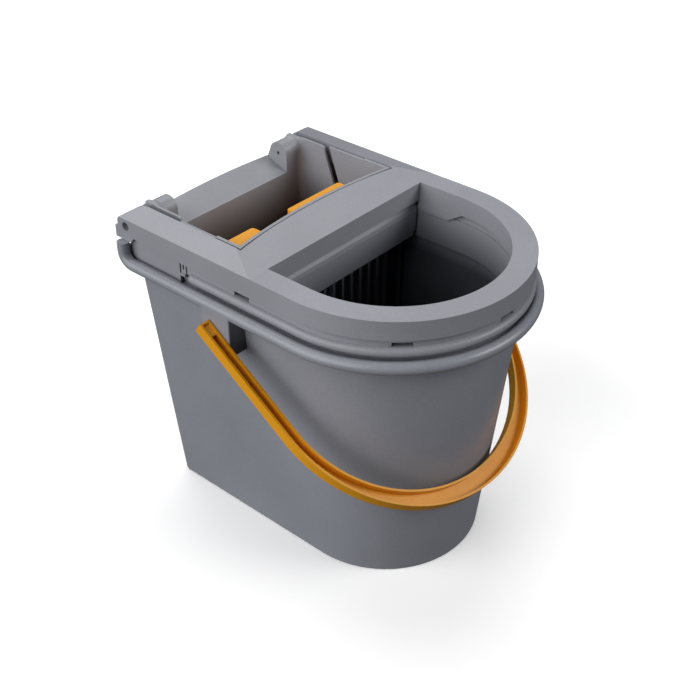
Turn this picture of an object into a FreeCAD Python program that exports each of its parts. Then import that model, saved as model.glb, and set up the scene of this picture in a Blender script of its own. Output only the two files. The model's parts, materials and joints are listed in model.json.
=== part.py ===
"""Mop bucket with a press wringer: D-shaped bucket, lift-off wringer, swinging bail.

Millimetres, +Z up, -Y towards the rounded front, +X to the right when seen from the
front.  The origin is on the floor under the middle of the object.  Places along Y are
given by aft(), from the centre of the frame's rounded front, and places along Z by up(),
from the flat top of the wringer frame.
"""
import FreeCAD
import Part
import math
import os

V = FreeCAD.Vector
X_AXIS = V(1, 0, 0)
Z_AXIS = V(0, 0, 1)

# ---- Driving dimensions ----------------------------------------------------
ring_top = 316.0            # height of the frame's flat top above the floor
arc_y = -44.75              # centre of the frame's rounded front
wall = 2.5                  # general moulded wall

# Bucket
base_half = 97.0            # half width at the floor
rim_half = 122.0            # half width of the wall's outside at the rim
base_arc_shift = 2.5        # the base's front arc sits this much further back
base_rear = 204.5           # rear wall at the floor, from the arc centre
rim_rear = 213.0            # rear wall at the rim
rear_corner = 10.0          # rounding of the upright rear corners
floor_top = 5.5             # inside floor height
foot_recess = 3.0           # underside recess within the foot rim
foot_rim = 6.0              # width of the foot rim
rim_z = -44.0               # middle of the rolled rim
rim_roll = 6.0              # radius of the rolled rim
rim_line = 133.0            # half width at the middle of the roll
rim_gauge = 2.2             # thickness of the rolled edge
gutter_z = -43.6            # top of the web between the wall and the roll
raised_top = -30.0          # top of the raised rear wall
riser_y = 214.0             # the rim turns upwards here
riser_bend = 12.0
riser_top = -22.7           # top of the rim's risers at the rear corners

# Handle lugs and bail
lug_face = 139.0            # outer face of the lug blocks
lug_front = 71.0
lug_back = 106.0
lug_bottom = -87.0
bail_y = 92.0               # bail pivot
bail_z = -63.6
bail_in = 139.8             # inner face of the bail's arms
bail_out = 151.0            # outer face of the bail's arms
bail_hang = 34.8            # degrees that the bail hangs below level
bail_end = 7.5              # the arms reach this far past the pivot
bail_straight = 120.0       # straight part of the arms, from the pivot
bail_bow_in = 246.0         # reach of the bow's inner edge
bail_bow_out = 264.0        # reach of the bow's outer edge
bail_depth = 11.0           # depth of the channel section
bail_lip = 2.2              # thickness of the channel's lips
bail_web = 3.4              # thickness of the channel's floor
peg_r = 2.8                 # radius of the bail pegs
peg_gap = 0.08

# Wringer frame
frame_half = 130.0          # half width and front radius
opening_r = 107.0           # radius of the front opening
frame_side = 19.0           # depth of the frame's outer side
bar_front = 50.9            # front edge of the crossbar
arm_inner = 106.0           # inner face of the arms
arm_rise = 5.4              # height of the arms' inner edge over the flat top
bar_corner = 84.8           # chamber's front edge at its corners
bar_middle = 94.2           # chamber's front edge in the middle
facet_middle = 91.0         # back of the crossbar's sloping facet
arm_end = 226.5             # rear end of the arms
arm_end_r = 20.0

# Rear jaw
jaw_y = 211.5               # pivot of the rear jaw
jaw_z = -7.7
jaw_out = 100.0             # outer face of the jaw's side walls
jaw_face = 200.0            # inner face of the jaw's back wall at its top
jaw_face_low = 195.0        # the same at the bottom
jaw_bottom = -181.0
jaw_lip_z = -26.0           # front edge of the sloping top lip
lip_rear = 228.5
ear_inner = 75.0            # inner face of the ears
ear_r = 11.5
pin_r = 3.0
pin_gap = 0.08

# Press plate
shaft_y = 112.0             # axis of the press shaft
shaft_z = -150.0
shaft_r = 4.0
shaft_gap = 0.06
plate_half = 92.5
plate_front = 106.0
plate_back = 115.5
plate_top = -17.0
tab_top = -3.0
foot_end = 164.0
drive_y = 158.0             # drive pins, at the foot's end
drive_z = -152.0
drive_r = 3.0
press_travel = 18.0         # degrees
jaw_ratio = 5.0 / 18.0      # jaw degrees per degree of the press plate

# Press basket
side_in = 101.5             # inner face of the basket's side walls
side_out = 104.0
basket_bottom = -190.0
skirt_out = 114.5           # outside of the skirt that drops into the bucket
skirt_bottom = -62.0
lip_top = 5.0               # top of the liner's lip
lip_gap = 1.7               # gap between the crossbar and the liner
lip_wide = 3.2
panel_in = 124.3            # side panels that stand in the rim's gutter
panel_out = 126.5
panel_bottom = -42.0
beam_front = 54.0           # face of the basket's upper front band
beam_bottom = -54.0
rib_face = 70.0             # face of the ribbed drain wall

# Skirt ring
ring_rear = 134.0           # rear end of its legs
band_out = 126.5            # outside of the upright band
bead_line = 126.3           # middle of the bead
bead_z = -31.8
bead_r = 4.8

# Screws
screw_r = 1.75
screw_head_r = 3.6


def aft(distance):
    """Place along Y, measured back from the centre of the rounded front."""
    return arc_y + distance


def up(distance):
    """Height, measured from the frame's flat top."""
    return ring_top + distance


# ---- Shape helpers -----------------------------------------------------------
def box(x0, x1, y0, y1, z0, z1):
    """Block between two corners; Y from the arc centre, Z from the flat top."""
    return Part.makeBox(x1 - x0, y1 - y0, z1 - z0, V(x0, aft(y0), up(z0)))


def rod(radius, x0, x1, y, z):
    """Round bar along X."""
    return Part.makeCylinder(radius, x1 - x0, V(x0, aft(y), up(z)), X_AXIS)


def post(radius, x, y, z0, z1):
    """Round bar along Z."""
    return Part.makeCylinder(radius, z1 - z0, V(x, aft(y), up(z0)), Z_AXIS)


def side_prism(points, x0, x1):
    """Outline in the Y-Z plane, pushed along X from x0 to x1."""
    corners = [V(x0, aft(y), up(z)) for y, z in points]
    face = Part.Face(Part.makePolygon(corners + corners[:1]))
    return face.extrude(V(x1 - x0, 0, 0))


def mirrored(shape):
    """The same shape on the other side."""
    return shape.mirror(V(0, 0, 0), X_AXIS)


def pair(shape):
    """The shape and its mirror image, joined."""
    return shape.fuse(mirrored(shape))


def join(*shapes):
    """One solid from overlapping solids."""
    return shapes[0].multiFuse(list(shapes[1:])).removeSplitter()


def d_wire(half, arc_shift, rear, corner, z):
    """D outline: half circle in front, straight sides, rounded rear corners."""
    cy = arc_y + arc_shift
    ry = aft(rear)
    inset = corner * (1 - math.sqrt(0.5))
    points = [V(half, cy, z), V(half, ry - corner, z), V(half - corner, ry, z),
              V(corner - half, ry, z), V(-half, ry - corner, z), V(-half, cy, z)]
    edges = [Part.LineSegment(points[0], points[1]),
             Part.Arc(points[1], V(half - inset, ry - inset, z), points[2]),
             Part.LineSegment(points[2], points[3]),
             Part.Arc(points[3], V(inset - half, ry - inset, z), points[4]),
             Part.LineSegment(points[4], points[5]),
             Part.Arc(points[5], V(0, cy - half, z), points[0])]
    return Part.Wire([edge.toShape() for edge in edges])


def d_prism(half, rear, z0, z1, corner=rear_corner):
    """Upright D-shaped block."""
    return Part.Face(d_wire(half, 0, rear, corner, up(z0))).extrude(V(0, 0, z1 - z0))


def half_band(outer, inner, rear, z0, z1):
    """U-shaped upright band: half ring in front with two straight legs."""
    band = d_prism(outer, rear + 30, z0, z1).cut(d_prism(inner, rear + 60, z0 - 1, z1 + 1))
    return band.common(box(-200, 200, -200, rear, z0 - 1, z1 + 1))


def arc_block(middle, corner, half, front, z0, z1):
    """Block whose back face is an arc: corner is its place at the arms' inner faces."""
    sagitta = middle - corner
    radius = (arm_inner ** 2 + sagitta ** 2) / (2 * sagitta)
    end = middle - radius + math.sqrt(radius ** 2 - half ** 2)
    points = [V(-half, aft(end), up(z0)), V(0, aft(middle), up(z0)),
              V(half, aft(end), up(z0)), V(half, aft(front), up(z0)),
              V(-half, aft(front), up(z0))]
    edges = [Part.Arc(points[0], points[1], points[2]),
             Part.LineSegment(points[2], points[3]),
             Part.LineSegment(points[3], points[4]),
             Part.LineSegment(points[4], points[0])]
    wire = Part.Wire([edge.toShape() for edge in edges])
    return Part.Face(wire).extrude(V(0, 0, z1 - z0))


def fillet_where(shape, radius, chosen):
    """Round the edges that chosen(edge) picks; leave the shape alone if none fit."""
    edges = [edge for edge in shape.Edges if chosen(edge)]
    if not edges:
        return shape
    rounded = shape.makeFillet(radius, edges)
    return rounded if rounded.isValid() else shape


# ---- Bucket --------------------------------------------------------------------
def half_width_at(z_mm):
    """Half width of the wall's outside at a height above the floor."""
    return base_half + (rim_half - base_half) * z_mm / up(rim_z + rim_roll)


def bucket_body(inset, z0, z1):
    """Tapered D-shaped block, drawn in by inset from the outside of the wall."""
    height = up(rim_z + rim_roll)
    wires = []
    for z in (z0, z1):
        part_way = z / height
        rear = base_rear + (rim_rear - base_rear) * part_way
        wires.append(d_wire(half_width_at(z) - inset, base_arc_shift * (1 - part_way),
                            rear - inset, rear_corner - inset, z))
    return Part.makeLoft(wires, True, True)


def tube_round(line, radius, z, rear):
    """Round bar that follows the rounded front and the straight sides."""
    front = Part.makeTorus(line, radius, V(0, arc_y, up(z)), Z_AXIS, -180, 180, 180)
    front.rotate(V(0, arc_y, up(z)), Z_AXIS, 180)
    side = Part.makeCylinder(radius, rear, V(line, arc_y, up(z)), V(0, 1, 0))
    return join(front, pair(side))


def rolled_rim(radius):
    """The rim's roll, turned up at both rear corners to carry the raised rear wall."""
    low = riser_y - riser_bend
    turn = Part.makeTorus(riser_bend, radius, V(0, 0, 0), X_AXIS)
    turn.translate(V(rim_line, aft(low), up(rim_z + riser_bend)))
    turn = turn.common(box(100, 150, low, low + 40, rim_z - 20, rim_z + riser_bend))
    upright = post(radius, rim_line, riser_y, rim_z + riser_bend, riser_top)
    return join(tube_round(rim_line, radius, rim_z, low), pair(turn), pair(upright))


def bucket_shell():
    height = up(rim_z + rim_roll)
    shell = bucket_body(0, 0, height)
    shell = fillet_where(shell, 2.0, lambda e: e.BoundBox.ZMax < 0.1)
    web = d_prism(rim_line, rim_rear, gutter_z - rim_gauge, gutter_z)
    raised = box(-rim_line, rim_line, rim_rear - 1.5, rim_rear + 1.5, rim_z, raised_top)
    bead = rod(4.0, -rim_line, rim_line, rim_rear + 2.2, raised_top - 4.0)
    lug = box(rim_half - 12, lug_face, lug_front, lug_back, lug_bottom, rim_z)
    lug = fillet_where(lug, 1.2, lambda e: e.BoundBox.XMin > lug_face - 0.1)
    body = join(shell, web, rolled_rim(rim_roll), raised, bead, pair(lug))
    # Inside space, the roll's hollow with its open underside, foot recess
    inside = bucket_body(wall, floor_top, up(riser_top) + 2.0)
    hollow = tube_round(rim_line, rim_roll - rim_gauge, rim_z, riser_y - riser_bend - 6.0)
    slit = half_band(rim_line + 2.0, rim_line - 2.0, riser_y - riser_bend - 6.0, rim_z - 10,
                     rim_z)
    slit = slit.cut(pair(box(rim_half - 12, 150, lug_front - 3, lug_back + 3, -70, -30)))
    recess = bucket_body(foot_rim, 0, 20).common(
        Part.makeBox(400, 600, foot_recess, V(-200, -300, 0)))
    body = body.cut(inside).cut(hollow).cut(slit).cut(recess)
    # Lug pockets from below and the peg holes
    wall_in = half_width_at(up(lug_bottom)) + 1.0
    pocket = box(wall_in + 1.5, lug_face - wall, lug_front + wall, lug_back - wall,
                 lug_bottom - 1, rim_z - rim_roll - 1)
    boss = rod(peg_r + 3.0, wall_in, lug_face - 0.5, bail_y, bail_z)
    pocket = pocket.cut(boss)
    hole = rod(peg_r + peg_gap, wall_in - 8, lug_face + 1, bail_y, bail_z)
    return body.cut(pair(pocket)).cut(pair(hole))


# ---- Bail ------------------------------------------------------------------------
def bail_outline(half, reach, start, depth0, depth1):
    """U-shaped slab in the bail's own plane: X across, Y outwards, Z through."""
    left = V(-half, bail_straight, depth0)
    right = V(half, bail_straight, depth0)
    wire = Part.Wire([Part.makeLine(V(-half, start, depth0), left),
                      bow_edge(half, reach - bail_straight, depth0),
                      Part.makeLine(right, V(half, start, depth0)),
                      Part.makeLine(V(half, start, depth0), V(-half, start, depth0))])
    return Part.Face(wire).extrude(V(0, 0, depth1 - depth0))


def bow_edge(half, rise, depth):
    """Half ellipse from the right arm round the bow to the left arm."""
    centre = V(0, bail_straight, depth)
    ends = (V(half, bail_straight, depth), V(0, bail_straight + rise, depth))
    across = 0.0
    if rise > half:
        ends = (ends[1], V(-half, bail_straight, depth))
        across = -math.pi / 2
    return Part.Ellipse(ends[0], ends[1], centre).toShape(across, across + math.pi)


def bail_handle():
    d0 = -bail_depth / 2
    d1 = bail_depth / 2
    slab = bail_outline(bail_out, bail_bow_out, -bail_end, d0, d1)
    slab = slab.cut(bail_outline(bail_in, bail_bow_in, -20.0, d0 - 1, d1 + 1))
    groove = bail_outline(bail_out - bail_lip, bail_bow_out - bail_lip, bail_lip - bail_end,
                          d0 - 1, d1 - bail_web)
    groove = groove.cut(bail_outline(bail_in + bail_lip, bail_bow_in + bail_lip, -20.0,
                                     d0 - 2, d1))
    seat = Part.makeBox(bail_out - bail_in - 2, 14.0, bail_depth,
                        V(bail_in + 1, -bail_end + 1, d0 + 1.6))
    groove = groove.cut(pair(seat))
    peg_hole = Part.makeCylinder(peg_r, 2 * (bail_out - wall), V(wall - bail_out, 0, 0), X_AXIS)
    slab = slab.cut(groove).cut(peg_hole)
    # +Y of the slab turns down and forwards, and its grooved face up and forwards
    slab.rotate(V(0, 0, 0), X_AXIS, 180 + bail_hang)
    slab.translate(V(0, aft(bail_y), up(bail_z)))
    return slab


def bail_peg():
    """Left peg: pressed into the arm's blind hole, turning in the lug's boss."""
    inner = half_width_at(up(bail_z)) - wall
    return rod(peg_r, wall - bail_out, -inner + 1.0, bail_y, bail_z)


# ---- Wringer frame -------------------------------------------------------------------
def frame_blank():
    """Outer form: flat D top whose rear part rises towards the press chamber."""
    flat = d_prism(frame_half, arm_end, -frame_side, 0, 6.0)
    high = d_prism(frame_half, arm_end, -1.0, arm_rise, 6.0)
    slope_bar = side_prism([(bar_front, -1.1), (bar_front, 0), (facet_middle, arm_rise),
                            (300, arm_rise), (300, -1.1)], -140, 140)
    slope_arms = Part.makePolygon([V(-frame_half, 0, up(-1.1)), V(-frame_half, 0, up(0)),
                                   V(-arm_inner, 0, up(arm_rise)), V(arm_inner, 0, up(arm_rise)),
                                   V(frame_half, 0, up(0)), V(frame_half, 0, up(-1.1)),
                                   V(-frame_half, 0, up(-1.1))])
    slope_arms = Part.Face(slope_arms).extrude(V(0, 300, 0))
    return flat.fuse(high.common(slope_bar).common(slope_arms))


def arm_side_outline():
    """Side view of the arms with their rounded rear ends."""
    cy, cz = arm_end - arm_end_r, arm_rise - arm_end_r
    points = [(-200, -frame_side), (-200, arm_rise)]
    steps = 10
    for i in range(steps + 1):
        angle = math.pi / 2 * (1 - i / steps)
        points.append((cy + arm_end_r * math.cos(angle), cz + arm_end_r * math.sin(angle)))
    points += [(arm_end, -22.5), (206.0, -22.5), (202.0, -17.3), (113.0, -frame_side)]
    return points


def wringer_frame():
    blank = frame_blank().fuse(pair(box(arm_inner, frame_half, 190, arm_end, -23, -10)))
    blank = blank.common(side_prism(arm_side_outline(), -140, 140))
    opening = d_prism(opening_r, 300, -60, 30)
    opening = opening.common(box(-200, 200, -200, bar_front, -60, 30))
    chamber = box(-arm_inner, arm_inner, 60, 300, -60, 30).cut(
        arc_block(bar_middle, bar_corner, 150, 0, -61, 31))
    body = blank.removeSplitter()
    body = fillet_where(body, 1.6, outer_top_edge)
    body = body.cut(opening).cut(chamber)
    # Hollow underside
    hollow = d_prism(frame_half - wall, arm_end - wall, -60, -wall, 4.0)
    keep_front = d_prism(opening_r + wall, 300, -61, 0).common(
        box(-200, 200, -200, bar_front + wall, -61, 0))
    keep_chamber = box(-arm_inner - wall, arm_inner + wall, 60, 300, -61, 30).cut(
        arc_block(bar_middle - wall, bar_corner - wall, 150, 0, -62, 31))
    hollow = hollow.cut(keep_front).cut(keep_chamber)
    body = body.cut(hollow)
    # The arms' inner walls end above the basket's screw flange
    body = body.cut(pair(box(arm_inner - 1, arm_inner + wall + 0.5, bar_corner + 2, 203.0,
                             -40, -15.8)))
    # Deeper inner wall beside the crossbar, and the crossbar's front wall
    deep = half_band(opening_r + wall, opening_r, bar_front + wall, -30, -10)
    deep = deep.common(side_prism([(0, -5), (0, -19), (17, -30), (90, -30), (90, -5)], -150, 150))
    body = body.fuse(deep)
    # Bosses for the screws and for the jaw pins
    for x, y in basket_screw_places() + ring_screw_places():
        body = body.fuse(post(4.5, x, y, -16.0, -wall + 0.5))
    for x, y in basket_screw_places() + ring_screw_places():
        body = body.cut(post(screw_r, x, y, -17, -6.0))
    body = body.fuse(pair(rod(7.0, arm_inner + 0.5, frame_half - 0.5, jaw_y, jaw_z)))
    body = body.cut(pair(rod(pin_r, arm_inner - 2, frame_half + 1, jaw_y, jaw_z)))
    body = body.cut(pair(rod(4.4, frame_half - 9.0, frame_half + 1, jaw_y, jaw_z)))
    return body.removeSplitter()


def outer_top_edge(edge):
    """Edges where the frame's outer side meets its top."""
    bound = edge.BoundBox
    level = up(-0.05) < bound.ZMin and bound.ZMax < up(0.05)
    side = abs(abs(edge.CenterOfMass.x) - frame_half) < 0.1
    front = bound.YMin < arc_y - frame_half + 0.1
    return level and (side or front)


# ---- Screws -----------------------------------------------------------------------------
def basket_screw_places():
    return [(x, y) for x in (-119.0, 119.0) for y in (142.0, 190.0)]


def ring_screw_places():
    places = []
    for angle in (-70, -35, 0, 35, 70):
        turn = math.radians(angle)
        places.append((118.5 * math.sin(turn), -118.5 * math.cos(turn)))
    return places


def screw(x, y, seat):
    """Self-tapping screw driven up from below against a seat."""
    shank = post(screw_r, x, y, seat - 1.0, -6.5)
    head = post(screw_head_r, x, y, seat - 2.2, seat)
    cross = box(x - 0.5, x + 0.5, y - 2, y + 2, seat - 2.3, seat - 1.0)
    cross = cross.fuse(box(x - 2, x + 2, y - 0.5, y + 0.5, seat - 2.3, seat - 1.0))
    return join(shank, head).cut(cross)


def screws(places, seat):
    return Part.makeCompound([screw(x, y, seat) for x, y in places])


# ---- Skirt ring ---------------------------------------------------------------------------
def skirt_ring():
    flange = half_band(band_out, skirt_out - wall, ring_rear, -18.5, -16.3)
    band = half_band(band_out, band_out - wall, ring_rear, -30.0, -16.3)
    upper = half_band(skirt_out, skirt_out - wall, ring_rear, -29.0, -16.3)
    ledge = half_band(band_out - 1.0, skirt_out - 4.5, ring_rear, -30.4, -28.0)
    lower = half_band(skirt_out - 2.0, skirt_out - 4.5, ring_rear, skirt_bottom, -28.0)
    bead = tube_round(bead_line, bead_r, bead_z, ring_rear - bead_r - 2.5)
    ends = Part.makeSphere(bead_r, V(bead_line, aft(ring_rear - bead_r - 2.5), up(bead_z)))
    hollow = tube_round(bead_line, bead_r - 2.0, bead_z, ring_rear - bead_r - 3.5)
    slit = half_band(bead_line + 1.5, bead_line - 1.5, ring_rear - bead_r - 3.5,
                     bead_z - 10, bead_z)
    ring = join(flange, band, upper, ledge, lower, bead, pair(ends)).cut(hollow).cut(slit)
    for angle in (-116, -47, 0, 47, 116):
        ring = ring.cut(slot_window(angle))
    for x, y in ring_screw_places():
        ring = ring.cut(post(screw_r + 0.3, x, y, -20, -10))
    return ring


def slot_window(angle):
    """Drain slot through the upright band, at an angle from the front."""
    window = Part.makeBox(18.0, 12.0, 4.2, V(-9.0, -8.0, up(-27.0)))
    if abs(angle) <= 90:
        window.translate(V(0, -band_out, 0))
        window.rotate(V(0, 0, 0), Z_AXIS, angle)
        window.translate(V(0, arc_y, 0))
        return window
    window.rotate(V(0, 0, 0), Z_AXIS, 90)
    window.translate(V(math.copysign(band_out, angle), aft(65.0), 0))
    return window


# ---- Press basket ---------------------------------------------------------------------------
def basket_side():
    """Right side: liner plate, slanted rear edge at the top, full plate lower down."""
    top = arm_rise - 1.6
    outline = [(90, top), (164.5, top), (145.0, -52.0), (145.0, -64.0), (192.0, -64.0),
               (192.0, basket_bottom), (rib_face, basket_bottom), (rib_face, beam_bottom),
               (90, beam_bottom)]
    return side_prism(outline, side_in, side_out)


def drain_wall():
    """Ribbed front wall: upright ribs with a drain slot beside each of them."""
    panel = box(-78, 78, rib_face, rib_face + wall, basket_bottom, beam_bottom - 5)
    ribs = []
    for step in range(-6, 6):
        x = 6.5 + step * 13.0
        ribs.append(box(x - 1.2, x + 1.2, rib_face - 6.0, rib_face + 0.5, basket_bottom + 8,
                        beam_bottom - 5))
        panel = panel.cut(box(x + 1.2, x + 5.2, rib_face - 1, rib_face + wall + 1,
                              basket_bottom + 18, beam_bottom - 30))
    return join(panel, *ribs)


def liner():
    """Thin wall behind the crossbar's arc, with a lip that turns the corners."""
    behind = lip_gap + lip_wide
    whole = arc_block(bar_middle + behind, bar_corner + behind, side_out, 60, -60, lip_top)
    front = arc_block(bar_middle + lip_gap, bar_corner + lip_gap, 120, 0, -61, 20)
    returns = pair(box(side_in - 0.7, side_out, bar_corner + lip_gap, 118.0, -4.0, lip_top))
    whole = join(whole, returns).cut(front)
    return whole.common(box(-side_out, side_out, 60, 200, -60, 20))


def beam():
    """Upper front band under the crossbar: sloping top, rounded ridge, upright face."""
    outline = [(68.0, -19.0), (60.0, -21.0), (56.6, -24.0), (54.6, -27.5), (beam_front, -31.5),
               (55.0, beam_bottom), (57.5, beam_bottom), (56.6, -31.8), (57.1, -28.6),
               (58.8, -25.8), (61.4, -23.4), (68.0, -21.6)]
    return side_prism(outline, -opening_r + 0.3, opening_r - 0.3)


def side_panel():
    """Right panel that stands in the rim's gutter, with a rounded lower rear corner."""
    rear = riser_y - 3.5
    centre = (rear - 10.0, panel_bottom + 10.0)
    outline = [(144.0, -16.3), (144.0, panel_bottom)]
    for step in range(7):
        angle = math.radians(-90 + 15 * step)
        outline.append((centre[0] + 10 * math.cos(angle), centre[1] + 10 * math.sin(angle)))
    outline.append((rear, -16.3))
    return side_prism(outline, panel_in, panel_out)


def press_basket():
    # Front band and the shelf that ties it to the liner
    shelf = box(-side_out, side_out, beam_front + 1, 101.0, beam_bottom - 5.0,
                beam_bottom - 5.0 + wall)
    apron = box(-side_out, side_out, beam_front + 1, beam_front + 3.5, beam_bottom - 5.0,
                beam_bottom + 0.5)
    cheeks = pair(box(75.5, side_out, rib_face + 14, rib_face + 14 + wall, basket_bottom,
                      beam_bottom - 5.0 + wall))
    returns = pair(box(75.5, 78.0, rib_face, rib_face + 14 + wall, basket_bottom,
                       beam_bottom - 5.0 + wall))
    band_web = pair(box(side_in, side_out, beam_front + 2, 92, beam_bottom - 5.0, -24.0))
    sides = pair(basket_side())
    # Floor frame: a ledge all round on which the floor grille lies
    ledge = box(-side_out, side_out, rib_face, 192, basket_bottom, basket_bottom + 2.5)
    ledge = ledge.cut(box(-side_out + 8, side_out - 8, rib_face + 8 + 14, 192 - 8,
                          basket_bottom - 1, basket_bottom + 4))
    # Inner skirt, outer panel and the flange that is screwed to the frame
    skirt = box(skirt_out - wall, skirt_out, ring_rear + 1.5, 200.0, skirt_bottom, -16.3)
    flange = box(skirt_out - wall, 122.8, ring_rear + 1.5, 206.0, -18.5, -16.3)
    flange_out = box(122.0, panel_in + 0.5, 144.0, 206.0, -18.5, -16.3)
    bridge = box(side_in, side_out, ring_rear + 1.5, 192.0, -64.0, -52.0)
    tie = box(side_out - 1, skirt_out, ring_rear + 1.5, 140, skirt_bottom, -16.3)
    tie_low = box(side_out - 1, skirt_out, 186.0, 188.5, skirt_bottom, -16.3)
    outer = join(skirt, flange, flange_out, side_panel(), tie, tie_low, bridge)
    outer = outer.cut(box(side_in - 1, side_out, 146.0, 197.5, -51.0, -10.0))
    body = join(liner(), beam(), shelf, apron, cheeks, returns, band_web, sides, drain_wall(),
                ledge, pair(outer))
    # Bearing eyes for the press shaft, screw holes
    body = body.fuse(pair(rod(9.0, side_in, side_out, shaft_y, shaft_z)))
    body = body.cut(rod(shaft_r, -140, 140, shaft_y, shaft_z))
    for x, y in basket_screw_places():
        body = body.cut(post(screw_r + 0.3, x, y, -20, -10))
    return body.removeSplitter()


def floor_grille():
    """Slotted drain floor that lies on the basket's ledge."""
    y0, y1 = 88.0, 191.5
    z0 = basket_bottom + 2.5
    plate = box(-side_in + 0.3, side_in - 0.3, y0, y1, z0, z0 + 2.2)
    for row in range(4):
        for column in range(-6, 7):
            x = column * 14.0
            y = y0 + 14 + row * 22.0
            plate = plate.cut(box(x - 4.5, x + 4.5, y, y + 14.0, z0 - 1, z0 + 4))
    rib = box(-side_in + 0.3, side_in - 0.3, y0, y0 + 2, z0, z0 + 8)
    return join(plate, rib)


# ---- Rear jaw ---------------------------------------------------------------------------------
def turned_about(point, pivot, degrees):
    """A point in the Y-Z plane, turned about a pivot with the axis along X."""
    angle = math.radians(degrees)
    dy, dz = point[0] - pivot[0], point[1] - pivot[1]
    return (pivot[0] + dy * math.cos(angle) - dz * math.sin(angle),
            pivot[1] + dy * math.sin(angle) + dz * math.cos(angle))


def drive_slot():
    """Path of a drive pin as seen from the jaw, widened to a slot."""
    half_slot = drive_r + 0.45
    slot = None
    last = None
    for i in range(-1, 13):
        pressed = press_travel * i / 11
        pin = turned_about((drive_y, drive_z), (shaft_y, shaft_z), -pressed)
        place = turned_about(pin, (jaw_y, jaw_z), pressed * jaw_ratio)
        piece = rod(half_slot, jaw_out - 6, jaw_out + 1, place[0], place[1])
        if last:
            dy, dz = place[0] - last[0], place[1] - last[1]
            length = math.hypot(dy, dz)
            ny, nz = -dz / length * half_slot, dy / length * half_slot
            corners = [(last[0] + ny, last[1] + nz), (place[0] + ny, place[1] + nz),
                       (place[0] - ny, place[1] - nz), (last[0] - ny, last[1] - nz)]
            piece = piece.fuse(side_prism(corners, jaw_out - 6, jaw_out + 1))
        slot = piece if slot is None else slot.fuse(piece)
        last = place
    return slot


def rear_jaw():
    # Back wall, leaning forwards a little towards the bottom
    back = side_prism([(jaw_face, jaw_lip_z), (jaw_face + wall, jaw_lip_z - 2),
                       (jaw_face_low + wall, jaw_bottom), (jaw_face_low, jaw_bottom)],
                      -jaw_out, jaw_out)
    side_outline = [(169.0, 3.5), (172.5, arm_rise - 0.8), (201.5, arm_rise - 0.8), (201.5, jaw_lip_z),
                    (jaw_face_low + 1, jaw_bottom), (147.0, jaw_bottom), (147.0, -62.0),
                    (149.0, -52.0)]
    side = side_prism(side_outline, jaw_out - wall, jaw_out)
    # Rounded inside corners between the back and side walls, up to the ears
    corner = side_prism([(jaw_face - 8, jaw_z), (jaw_face + 1, jaw_z), (jaw_face + 1, jaw_lip_z),
                         (jaw_face_low + 1, jaw_bottom), (jaw_face_low - 8, jaw_bottom),
                         (jaw_face - 8, jaw_lip_z)], jaw_out - 9, jaw_out - 1)
    lean = math.degrees(math.atan2(jaw_face - jaw_face_low, jaw_lip_z - jaw_bottom))
    scoop = Part.makeCylinder(8.0, 300, V(jaw_out - wall - 8.0, aft(jaw_face - 8.0), up(jaw_lip_z)),
                              V(0, -math.sin(math.radians(lean)), -math.cos(math.radians(lean))))
    scoop_up = post(8.0, jaw_out - wall - 8.0, jaw_face - 8.0, jaw_lip_z - 1.5, jaw_z + 30)
    scoop_box = box(60, jaw_out - wall - 8.0, jaw_face - 20, jaw_face, -400, 50)
    corner = corner.cut(scoop).cut(scoop_up).cut(scoop_box)
    # Ears, rounded about the pivot, with a hollow fillet against the side wall
    ear = rod(ear_r, ear_inner, jaw_out, jaw_y, jaw_z)
    ear = ear.fuse(box(ear_inner, jaw_out, jaw_face, jaw_y, jaw_lip_z, jaw_z))
    ear = ear.fuse(side_prism([(jaw_face, jaw_lip_z - 8), (jaw_face, jaw_z), (jaw_y + 3, jaw_z + 11),
                               (jaw_y + 10.0, jaw_z + 5.0), (lip_rear - 1.0, jaw_lip_z + 9.0)],
                              ear_inner, jaw_out))
    saddle_r = 8.0
    saddle = rod(ear_r + saddle_r, jaw_out - wall - saddle_r, jaw_out - 1, jaw_y, jaw_z)
    groove = Part.makeTorus(ear_r + saddle_r, saddle_r,
                            V(jaw_out - wall - saddle_r, aft(jaw_y), up(jaw_z)), X_AXIS)
    saddle = saddle.cut(groove).common(box(0, 120, jaw_face - 8, jaw_y + 6, jaw_z, arm_rise - 0.8))
    ear = ear.fuse(saddle)
    # Sloping lip between the ears, arched a little, with a turned-down rear edge
    lip = jaw_lip()
    stiffener = rod(2.0, -jaw_out, jaw_out, jaw_face_low + wall, jaw_bottom + 2.0)
    body = join(back, pair(side), pair(corner), pair(ear), lip, stiffener)
    bore = rod(pin_r + pin_gap, ear_inner + 3, jaw_out + 1, jaw_y, jaw_z)
    vent = rod(1.9, ear_inner - 1, ear_inner + 4, jaw_y, jaw_z)
    body = body.cut(pair(bore)).cut(pair(vent)).cut(pair(drive_slot()))
    return body.removeSplitter()


def jaw_lip():
    """Arched strip: a section at each side and one in the middle, lofted."""
    wires = []
    for share, lift in ((-1.0, 0.0), (-0.5, 2.2), (0.0, 3.0), (0.5, 2.2), (1.0, 0.0)):
        x = share * (ear_inner + 4)
        rear_z = -16.0 + lift
        points = [(jaw_face, jaw_lip_z), (lip_rear, rear_z), (lip_rear, rear_z - 3.8 - lift),
                  (lip_rear - 2.2, rear_z - 3.8 - lift), (lip_rear - 2.2, rear_z - 3.2),
                  (jaw_face, jaw_lip_z - 3.0)]
        corners = [V(x, aft(y), up(z)) for y, z in points]
        wires.append(Part.makePolygon(corners + corners[:1]))
    return Part.makeLoft(wires, True, False)


def jaw_pin():
    """Left pin: head in the arm's recess, shank through arm and ear."""
    shank = rod(pin_r, -frame_half + 8.0, -ear_inner - 4.0, jaw_y, jaw_z)
    head = rod(4.2, -frame_half + 7.0, -frame_half + 9.0, jaw_y, jaw_z)
    return join(shank, head)


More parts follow.
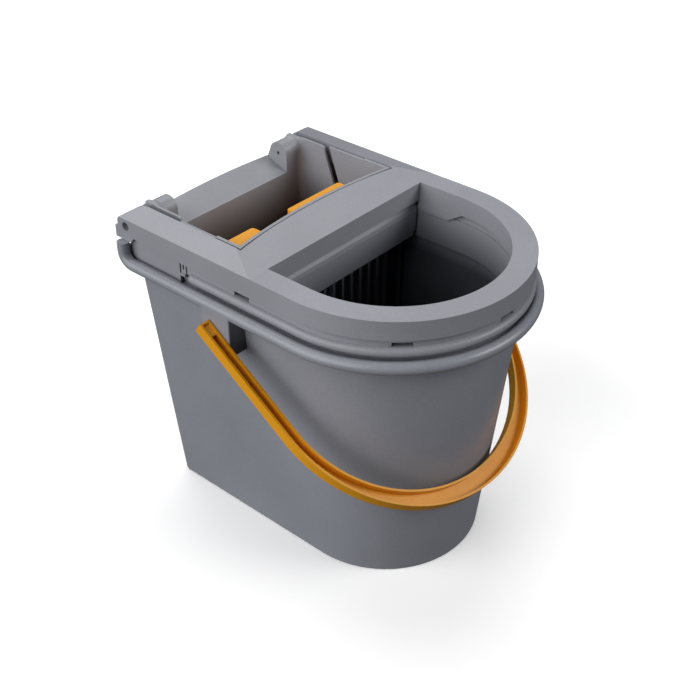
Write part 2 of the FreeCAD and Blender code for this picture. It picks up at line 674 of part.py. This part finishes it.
def retaining_clip(bore, outer, x0, thickness, y, z):
    """Push-on clip: a washer with one open gap."""
    ring = rod(outer, x0, x0 + thickness, y, z).cut(rod(bore, x0 - 1, x0 + thickness + 1, y, z))
    return ring.cut(box(x0 - 1, x0 + thickness + 1, y - bore * 0.55, y + bore * 0.55, z, z + 20))


# ---- Press plate ------------------------------------------------------------------------------
def press_plate():
    """L-shaped press lever: upright plate with tabs, slotted foot, hub and gussets."""
    upright = box(-plate_half, plate_half, plate_back - 3.0, plate_back, shaft_z, plate_top)
    rim_bars = [box(-plate_half, plate_half, plate_front, plate_back, z, z + 3.0)
                for z in (plate_top - 3.0, plate_top - 45.0, plate_top - 87.0)]
    rim_bars += [box(x, x + 3.0, plate_front, plate_back, shaft_z, plate_top)
                 for x in (-plate_half, -43.5, -7.5, 4.5, 40.5, plate_half - 3.0)]
    for row in range(3):
        for column in range(-7, 8):
            x = column * 12.0
            z = plate_top - 42.0 * (row + 1) + 4.0
            upright = upright.cut(box(x - 3.0, x + 3.0, plate_back - 5, plate_back + 1,
                                      z, z + 22.0))
    tabs = [tab(-93.0, -60.0), tab(-15.0, 59.0)]
    foot = box(-plate_half, plate_half, shaft_y, foot_end, drive_z - 1.5, drive_z + 1.5)
    for column in range(-7, 8):
        x = column * 12.0
        foot = foot.cut(box(x - 3.0, x + 3.0, shaft_y + 14, foot_end - 12, drive_z - 3, drive_z + 3))
    nose = rod(2.6, -plate_half, plate_half, foot_end, drive_z)
    hub = rod(8.0, -plate_half, plate_half, shaft_y, shaft_z)
    gussets = [side_prism([(shaft_y, shaft_z), (plate_back, shaft_z + 34), (shaft_y + 36, drive_z),
                           (shaft_y, drive_z)], x, x + 3.0)
               for x in (-plate_half, -32.0, 29.0, plate_half - 3.0)]
    seats = [rod(5.0, plate_half - 14.0, plate_half, drive_y, drive_z),
             rod(5.0, -plate_half, 14.0 - plate_half, drive_y, drive_z)]
    body = join(upright, *rim_bars, *tabs, foot, nose, hub, *gussets, *seats)
    body = body.cut(rod(shaft_r + shaft_gap, -140, 140, shaft_y, shaft_z))
    body = body.cut(pair(rod(drive_r, plate_half - 12.0, plate_half + 1, drive_y, drive_z)))
    return body


def tab(x0, x1):
    """Finger tab on the upright plate's top edge."""
    tall = box(x0, x1, plate_front - 6.0, plate_back, plate_top - 14.0, tab_top)
    tall = fillet_where(tall, 3.0, lambda e: e.BoundBox.ZLength > 10
                        and e.BoundBox.YMin > aft(plate_back) - 1)
    inner = box(x0 + 2.5, x1 - 2.5, plate_front - 7.0, plate_back - 2.5, plate_top - 30.0, tab_top - 2.5)
    tall = tall.cut(inner)
    behind = lip_gap + lip_wide + 0.6
    return tall.cut(arc_block(bar_middle + behind, bar_corner + behind, 150, 0, -301, 21))


def drive_pin():
    """Left drive pin: fixed in the foot's end, reaching through the jaw's slot."""
    return rod(drive_r, -jaw_out - 0.9, -plate_half + 12.0, drive_y, drive_z)


def press_shaft():
    end = side_out + 3.0
    return rod(shaft_r, -end, end, shaft_y, shaft_z)


def return_spring(side):
    """Torsion spring on the shaft, between the hub and the basket's side wall."""
    wire_r = 0.8
    coil_r = shaft_r + 2.2
    pitch = 1.75
    turns = 3.5
    corners = []
    for step in range(int(turns * 16) + 1):
        angle = 2 * math.pi * step / 16
        corners.append(V(coil_r * math.cos(angle), coil_r * math.sin(angle), pitch * step / 16))
    start = Part.Wire([Part.makeCircle(wire_r, corners[0], corners[1] - corners[0])])
    coil = Part.makePolygon(corners).makePipeShell([start], True, False, 1)
    coil.rotate(V(0, 0, 0), V(0, 1, 0), 90)
    x0 = plate_half + 1.2
    coil.translate(V(x0, aft(shaft_y), up(shaft_z)))
    if side < 0:
        coil.rotate(V(0, aft(shaft_y), 0), Z_AXIS, 180)
    return coil


def stop_buffer(x):
    """Rubber buffer under the foot."""
    base = basket_bottom + 4.7
    return join(post(6.0, x, 150.0, base, base + 6.0), post(4.5, x, 150.0, base, base + 9.0))


def snap_clip():
    """Left catch beside the end of the bead."""
    y0, y1 = ring_rear + 1.8, ring_rear + 8.0
    x = -band_out
    tongue = box(x, x + 2.2, y0, y1, -33.0, -16.3)
    tongue = tongue.cut(box(x - 1, x + 3, y0 + 2.2, y1 - 2.0, -27.0, -20.0))
    root = box(x, x + 3.4, y0, y1, -18.5, -16.3)
    nose = box(x - 1.6, x + 1.0, y0, y1, -33.0, -30.5)
    return join(tongue, root, nose)


# ---- Parts list -----------------------------------------------------------------------------------
def all_parts():
    parts = {
        "bucket_shell": bucket_shell(),
        "bail_handle": bail_handle(),
        "left_bail_peg": bail_peg(),
        "right_bail_peg": mirrored(bail_peg()),
        "wringer_frame": wringer_frame(),
        "skirt_ring": skirt_ring(),
        "press_basket": press_basket(),
        "floor_grille": floor_grille(),
        "rear_jaw": rear_jaw(),
        "left_jaw_pin": jaw_pin(),
        "right_jaw_pin": mirrored(jaw_pin()),
        "press_plate": press_plate(),
        "left_drive_pin": drive_pin(),
        "right_drive_pin": mirrored(drive_pin()),
        "press_shaft": press_shaft(),
        "left_shaft_clip": retaining_clip(shaft_r, 7.5, -side_out - 1.5, 1.2, shaft_y, shaft_z),
        "right_shaft_clip": retaining_clip(shaft_r, 7.5, side_out + 0.3, 1.2, shaft_y, shaft_z),
        "left_return_spring": return_spring(-1),
        "right_return_spring": return_spring(1),
        "stop_buffers": Part.makeCompound([stop_buffer(-49.0), stop_buffer(49.0)]),
        "basket_screws": screws(basket_screw_places(), -18.5),
        "ring_screws": screws(ring_screw_places(), -18.5),
        "left_snap_clip": snap_clip(),
        "right_snap_clip": mirrored(snap_clip()),
    }
    return parts


def main():
    os.makedirs("parts", exist_ok=True)
    for name, shape in all_parts().items():
        box_of = shape.BoundBox
        print("%-20s solids %d valid %s volume %.0f  x %.1f..%.1f y %.1f..%.1f z %.1f..%.1f" % (
            name, len(shape.Solids), shape.isValid(), shape.Volume, box_of.XMin, box_of.XMax,
            box_of.YMin, box_of.YMax, box_of.ZMin, box_of.ZMax))
        shape.exportStep("parts/%s.step" % name)


main()
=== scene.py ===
"""Looks of the mop bucket with wringer: camera, studio and materials."""
import json
import math

import bpy
from mathutils import Matrix, Vector

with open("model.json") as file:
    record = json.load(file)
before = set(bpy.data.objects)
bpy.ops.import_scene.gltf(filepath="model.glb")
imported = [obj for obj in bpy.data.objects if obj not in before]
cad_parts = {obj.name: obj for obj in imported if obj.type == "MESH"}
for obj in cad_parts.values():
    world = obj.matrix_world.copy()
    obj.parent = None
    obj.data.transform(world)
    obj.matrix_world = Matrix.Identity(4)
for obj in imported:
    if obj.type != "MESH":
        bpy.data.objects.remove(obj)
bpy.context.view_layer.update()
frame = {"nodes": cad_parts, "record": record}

# ---- Camera -------------------------------------------------------------------
VIEW_AZIMUTH = -49.45          # degrees, 0 looks along +Y
VIEW_ELEVATION = 35.22
VIEW_ROLL = 0.13
VIEW_DISTANCE = 1.0986
VIEW_TARGET = Vector((-0.0377, -0.02775, 0.2092))
LENS = 60.53
SENSOR = 36.0
CLIP_END = 50.0

# ---- Light and floor ------------------------------------------------------------
FILL = 0.05                    # strength of the even fill light
FILL_TINT = (0.93, 0.96, 1.0, 1)
# Name, azimuth and elevation of the source, strength, and how wide it looks in degrees
SUNS = (
    ("key", -106.0, 22.0, 2.9, 70.0),
    ("back", 150.0, 60.0, 1.5, 50.0),
    ("front", 34.0, 30.0, 1.5, 34.0),
)
FLOOR_HALF = 6.0
FLOOR_TONE = (0.97, 0.97, 0.97, 1)
FLOOR_ROUGHNESS = 0.9
FLOOR_GLOW = 0.22              # keeps the floor's shadows pale

# ---- Plastics -------------------------------------------------------------------
PLASTIC_IOR = 1.49
# Painted shade inside the bucket and the wringer: inward faces darken below these heights
BUCKET_PAINTED_SHADE = (0.285, 0.235)   # heights where the painted shade on the inside starts and is full
WRINGER_PAINTED_SHADE = (0.290, 0.240)
PAINTED_SHADE_TONE = (0.026, 0.029, 0.036)  # painted shade colour on the inside walls


def make_camera():
    az, el, roll = (math.radians(a) for a in (VIEW_AZIMUTH, VIEW_ELEVATION, VIEW_ROLL))
    back = Vector((math.sin(az) * math.cos(el), -math.cos(az) * math.cos(el), math.sin(el)))
    right = Vector((math.cos(az), math.sin(az), 0.0))
    upward = back.cross(right)
    x_axis = right * math.cos(roll) + upward * math.sin(roll)
    y_axis = upward * math.cos(roll) - right * math.sin(roll)
    data = bpy.data.cameras.new("photo_camera")
    data.lens = LENS
    data.sensor_width = SENSOR
    data.clip_end = CLIP_END
    camera = bpy.data.objects.new("photo_camera", data)
    rotation = Matrix((x_axis, y_axis, back)).transposed()
    camera.matrix_world = Matrix.Translation(VIEW_TARGET + back * VIEW_DISTANCE) @ rotation.to_4x4()
    bpy.context.scene.collection.objects.link(camera)
    bpy.context.scene.camera = camera


# ---- Studio ---------------------------------------------------------------------
def sun(name, azimuth, elevation, power, spread):
    """Broad far light that shines from an azimuth (0 is the -Y side) and an elevation."""
    data = bpy.data.lights.new(name, "SUN")
    data.energy = power
    data.angle = math.radians(spread)
    light = bpy.data.objects.new(name, data)
    az, el = math.radians(azimuth), math.radians(elevation)
    source = Vector((math.sin(az) * math.cos(el), -math.cos(az) * math.cos(el), math.sin(el)))
    light.rotation_euler = source.to_track_quat("Z", "Y").to_euler()
    bpy.context.scene.collection.objects.link(light)


def make_world():
    """Dim even fill light, seen as a pale grey backdrop by the camera."""
    world = bpy.data.worlds.new("studio")
    world.use_nodes = True
    tree = world.node_tree
    fill = tree.nodes["Background"]
    fill.inputs["Color"].default_value = FILL_TINT
    fill.inputs["Strength"].default_value = FILL
    backdrop = tree.nodes.new("ShaderNodeBackground")
    path = tree.nodes.new("ShaderNodeLightPath")
    mix = tree.nodes.new("ShaderNodeMixShader")
    tree.links.new(path.outputs["Is Camera Ray"], mix.inputs["Fac"])
    tree.links.new(fill.outputs["Background"], mix.inputs[1])
    tree.links.new(backdrop.outputs["Background"], mix.inputs[2])
    tree.links.new(mix.outputs["Shader"], tree.nodes["World Output"].inputs["Surface"])
    bpy.context.scene.world = world


def make_floor():
    half = FLOOR_HALF
    mesh = bpy.data.meshes.new("floor")
    mesh.from_pydata([(-half, -half, 0), (half, -half, 0), (half, half, 0), (-half, half, 0)],
                     [], [(0, 1, 2, 3)])
    floor = bpy.data.objects.new("floor", mesh)
    floor.visible_diffuse = False
    floor.visible_glossy = False
    bpy.context.scene.collection.objects.link(floor)
    material = bpy.data.materials.new("floor_white")
    material.use_nodes = True
    shader = material.node_tree.nodes["Principled BSDF"]
    shader.inputs["Base Color"].default_value = FLOOR_TONE
    shader.inputs["Roughness"].default_value = FLOOR_ROUGHNESS
    shader.inputs["Emission Color"].default_value = (1, 1, 1, 1)
    shader.inputs["Emission Strength"].default_value = FLOOR_GLOW
    floor.data.materials.append(material)


def make_studio():
    bpy.context.scene.view_settings.view_transform = "Standard"
    make_world()
    make_floor()
    for settings in SUNS:
        sun(*settings)


# ---- Materials --------------------------------------------------------------------
class Nodes:
    """Short-hand for building a node tree."""

    def __init__(self, name):
        self.material = bpy.data.materials.new(name)
        self.material.use_nodes = True
        self.tree = self.material.node_tree
        self.shader = self.tree.nodes["Principled BSDF"]
        coords = self.tree.nodes.new("ShaderNodeTexCoord")
        self.place = coords.outputs["Object"]
        self.normal = coords.outputs["Normal"]

    def add(self, kind, **settings):
        node = self.tree.nodes.new(kind)
        for key, value in settings.items():
            setattr(node, key, value)
        return node

    def link(self, source, target):
        self.tree.links.new(source, target)

    def noise(self, scale, detail=2.0, stretch=(1, 1, 1), distortion=0.0):
        mapping = self.add("ShaderNodeMapping")
        mapping.inputs["Scale"].default_value = stretch
        self.link(self.place, mapping.inputs["Vector"])
        node = self.add("ShaderNodeTexNoise")
        node.inputs["Scale"].default_value = scale
        node.inputs["Detail"].default_value = detail
        node.inputs["Distortion"].default_value = distortion
        self.link(mapping.outputs["Vector"], node.inputs["Vector"])
        return node.outputs["Fac"]

    def ramp(self, fac, stops):
        node = self.add("ShaderNodeValToRGB")
        elements = node.color_ramp.elements
        while len(elements) < len(stops):
            elements.new(0.5)
        for element, (place, colour) in zip(elements, stops):
            element.position = place
            element.color = colour if len(colour) == 4 else (*colour, 1)
        self.link(fac, node.inputs["Fac"])
        return node.outputs["Color"]

    def mix(self, fac, a, b, blend="MIX"):
        node = self.add("ShaderNodeMix", data_type="RGBA", blend_type=blend)
        for value, socket in ((fac, 0), (a, 6), (b, 7)):
            if isinstance(value, (int, float)):
                node.inputs[socket].default_value = value
            elif isinstance(value, tuple):
                node.inputs[socket].default_value = value if len(value) == 4 else (*value, 1)
            else:
                self.link(value, node.inputs[socket])
        return node.outputs[2]

    def scale_to(self, fac, low, high, from_low=0.0, from_high=1.0):
        node = self.add("ShaderNodeMapRange")
        node.inputs["From Min"].default_value = from_low
        node.inputs["From Max"].default_value = from_high
        node.inputs["To Min"].default_value = low
        node.inputs["To Max"].default_value = high
        self.link(fac, node.inputs["Value"])
        return node.outputs["Result"]

    def math(self, operation, a, b):
        node = self.add("ShaderNodeMath", operation=operation)
        for value, socket in ((a, 0), (b, 1)):
            if isinstance(value, (int, float)):
                node.inputs[socket].default_value = value
            else:
                self.link(value, node.inputs[socket])
        return node.outputs["Value"]

    def inside(self, high, low):
        """1 on faces that look inwards, growing with depth from height high to height low."""
        flat = self.add("ShaderNodeVectorMath", operation="MULTIPLY")
        self.link(self.place, flat.inputs[0])
        flat.inputs[1].default_value = (1, 1, 0)
        dot = self.add("ShaderNodeVectorMath", operation="DOT_PRODUCT")
        self.link(flat.outputs["Vector"], dot.inputs[0])
        self.link(self.normal, dot.inputs[1])
        facing = self.scale_to(dot.outputs["Value"], 1.0, 0.0, -0.006, 0.004)
        split = self.add("ShaderNodeSeparateXYZ")
        self.link(self.place, split.inputs["Vector"])
        depth = self.scale_to(split.outputs["Z"], 1.0, 0.0, low, high)
        return self.math("MULTIPLY", facing, depth)

    def bump(self, height, strength, distance, normal=None):
        node = self.add("ShaderNodeBump")
        node.inputs["Strength"].default_value = strength
        node.inputs["Distance"].default_value = distance
        self.link(height, node.inputs["Height"])
        if normal is not None:
            self.link(normal, node.inputs["Normal"])
        return node.outputs["Normal"]


def moulded_plastic(name, colour, roughness, grain, grain_depth, scuffs, painted_shade=None):
    """Injection-moulded polypropylene: faint flow mottle, spark grain and light scuffs."""
    n = Nodes(name)
    mottle = n.noise(9.0, 4.0)
    darker = tuple(c * 0.93 for c in colour)
    lighter = tuple(min(1.0, c * 1.06) for c in colour)
    base = n.ramp(mottle, [(0.3, darker), (0.7, lighter)])
    speck = n.noise(grain, 2.0)
    base = n.mix(0.05, base, n.ramp(speck, [(0.4, (0, 0, 0)), (0.6, (1, 1, 1))]), "OVERLAY")
    scratch = n.noise(60.0, 6.0, (1, 14, 3), 1.5)
    mark = n.scale_to(scratch, 0.0, scuffs, 0.62, 0.78)
    base = n.mix(mark, base, tuple(min(1.0, c * 1.5 + 0.05) for c in colour))
    if painted_shade is not None:
        # Painted shade that darkens the inward faces with depth, a little patchy
        shade_patchiness = n.scale_to(n.noise(22.0, 5.0), 0.86, 1.0)
        shade_cover = n.math("MULTIPLY", n.inside(painted_shade[0], painted_shade[1]), shade_patchiness)
        base = n.mix(shade_cover, base, PAINTED_SHADE_TONE)
    n.link(base, n.shader.inputs["Base Color"])
    rough = n.scale_to(n.noise(30.0, 3.0), roughness - 0.05, roughness + 0.07)
    n.link(rough, n.shader.inputs["Roughness"])
    n.shader.inputs["IOR"].default_value = PLASTIC_IOR
    normal = n.bump(speck, grain_depth, 0.0003)
    normal = n.bump(scratch, 0.05, 0.0004, normal)
    n.link(normal, n.shader.inputs["Normal"])
    return n.material


def steel(name):
    n = Nodes(name)
    brushed = n.noise(400.0, 3.0, (0.15, 1, 1))
    base = n.ramp(brushed, [(0.3, (0.45, 0.45, 0.46)), (0.7, (0.66, 0.66, 0.67))])
    n.link(base, n.shader.inputs["Base Color"])
    n.shader.inputs["Metallic"].default_value = 1.0
    n.link(n.scale_to(brushed, 0.25, 0.42), n.shader.inputs["Roughness"])
    n.link(n.bump(brushed, 0.15, 0.0002), n.shader.inputs["Normal"])
    return n.material


def rubber(name):
    n = Nodes(name)
    fine = n.noise(900.0, 3.0)
    n.link(n.ramp(fine, [(0.3, (0.012, 0.012, 0.013)), (0.7, (0.03, 0.03, 0.032))]),
           n.shader.inputs["Base Color"])
    n.link(n.scale_to(fine, 0.6, 0.8), n.shader.inputs["Roughness"])
    n.link(n.bump(fine, 0.3, 0.0003), n.shader.inputs["Normal"])
    return n.material


def make_materials():
    return {
        "bucket_grey": moulded_plastic("bucket_grey", (0.290, 0.300, 0.340),
                                       0.30, 900.0, 0.10, 0.10,
                                       painted_shade=BUCKET_PAINTED_SHADE),
        "wringer_grey": moulded_plastic("wringer_grey", (0.300, 0.306, 0.340),
                                        0.42, 1100.0, 0.30, 0.08,
                                        painted_shade=WRINGER_PAINTED_SHADE),
        "orange": moulded_plastic("orange", (0.80, 0.345, 0.010), 0.40, 800.0, 0.10, 0.05),
        "steel": steel("steel"),
        "buffer_rubber": rubber("buffer_rubber"),
    }


def dress_cad(materials):
    for entry in frame["record"]["subparts"]:
        node = frame["nodes"][entry["node"]]
        node.data.materials.clear()
        node.data.materials.append(materials[entry["material_slot"]])


make_camera()
make_studio()
dress_cad(make_materials())
